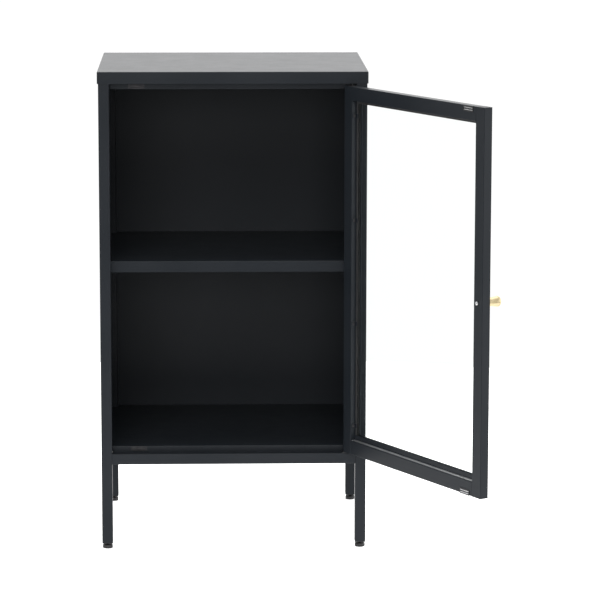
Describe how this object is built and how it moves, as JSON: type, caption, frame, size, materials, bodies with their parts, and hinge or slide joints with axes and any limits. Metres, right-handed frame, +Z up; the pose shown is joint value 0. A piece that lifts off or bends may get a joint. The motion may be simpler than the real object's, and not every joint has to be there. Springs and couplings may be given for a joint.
{
  "type": "glazed display cabinet",
  "caption": "Small steel display cabinet on square legs: one shelf, solid sides and back, framed glass door with a brass knob.",
  "frame": {"origin": "centre of the footprint of the four legs, on the floor", "axes": "+Z up, +X to the right of someone facing the door, -Y towards them; the door is drawn open"},
  "size_m": [0.7143, 0.7978, 0.9],
  "materials": {
    "black_powder_coat": "fine satin powder coat",
    "clear_glass": "clear, polished edges",
    "black_rubber": "matt",
    "brass": "satin turned",
    "zinc_steel": "bright zinc",
    "black_nylon": "matt moulded",
    "blackened_steel": "black oxide",
    "aluminium": "mill finish",
    "ferrite": "dull grey ferrite"
  },
  "bodies": {
    "cabinet": {"back_panel": "black_powder_coat", "bottom_front_rail": "black_powder_coat", "bottom_left_rail": "black_powder_coat", "bottom_rear_rail": "black_powder_coat", "bottom_right_rail": "black_powder_coat", "floor_pan": "black_powder_coat", "front_left_post": "black_powder_coat", "front_right_post": "black_powder_coat", "header_stop": "black_powder_coat", "hinge_plate_screws": "blackened_steel", "left_side_panel": "black_powder_coat", "leg_inserts": "black_nylon", "lower_hinge_pin": "blackened_steel", "lower_hinge_plate": "blackened_steel", "lower_strike_plate": "blackened_steel", "mid_shelf": "black_powder_coat", "rear_left_post": "black_powder_coat", "rear_right_post": "black_powder_coat", "right_side_panel": "black_powder_coat", "shelf_bracket_screws": "zinc_steel", "shelf_brackets": "black_powder_coat", "strike_screws": "blackened_steel", "thrust_washer": "black_nylon", "top_cap": "black_powder_coat", "top_front_rail": "black_powder_coat", "top_left_rail": "black_powder_coat", "top_rear_rail": "black_powder_coat", "top_right_rail": "black_powder_coat", "upper_hinge_pin": "blackened_steel", "upper_hinge_plate": "blackened_steel", "upper_strike_plate": "blackened_steel"},
    "door": {"catch_magnets": "ferrite", "catch_pole_plates": "zinc_steel", "door_bottom_rail": "black_powder_coat", "door_free_stile": "black_powder_coat", "door_glass": "clear_glass", "door_hinge_stile": "black_powder_coat", "door_knob": "brass", "door_lower_bearing": "black_nylon", "door_top_rail": "black_powder_coat", "door_upper_bearing": "black_nylon", "free_stile_end_plugs": "black_nylon", "glass_clip_screws": "blackened_steel", "glass_clips": "black_powder_coat", "glass_gasket": "black_rubber", "glass_setting_strip": "aluminium", "knob_screw": "zinc_steel", "knob_washer": "blackened_steel", "lower_catch_housing": "black_nylon", "lower_glass_bead": "black_powder_coat", "upper_catch_housing": "black_nylon"},
    "front_left_foot": {"front_left_foot_pad": "black_nylon", "front_left_foot_stud": "blackened_steel"},
    "front_right_foot": {"front_right_foot_pad": "black_nylon", "front_right_foot_stud": "blackened_steel"},
    "rear_left_foot": {"rear_left_foot_pad": "black_nylon", "rear_left_foot_stud": "blackened_steel"},
    "rear_right_foot": {"rear_right_foot_pad": "black_nylon", "rear_right_foot_stud": "blackened_steel"}
  },
  "joints": [
    {"name": "door_swing", "type": "hinge", "parent": "cabinet", "child": "door", "pos_m": [0.22, -0.1985, 0.529], "axis": [0, 0, 1], "range_deg": [-119.5, 6]},
    {"name": "front_left_foot_level", "type": "slide", "parent": "cabinet", "child": "front_left_foot", "axis": [0, 0, -1], "range_m": [-0.0028, 0.005]},
    {"name": "front_right_foot_level", "type": "slide", "parent": "cabinet", "child": "front_right_foot", "axis": [0, 0, -1], "range_m": [-0.0028, 0.005]},
    {"name": "rear_left_foot_level", "type": "slide", "parent": "cabinet", "child": "rear_left_foot", "axis": [0, 0, -1], "range_m": [-0.0028, 0.005]},
    {"name": "rear_right_foot_level", "type": "slide", "parent": "cabinet", "child": "rear_right_foot", "axis": [0, 0, -1], "range_m": [-0.0028, 0.005]}
  ]
}
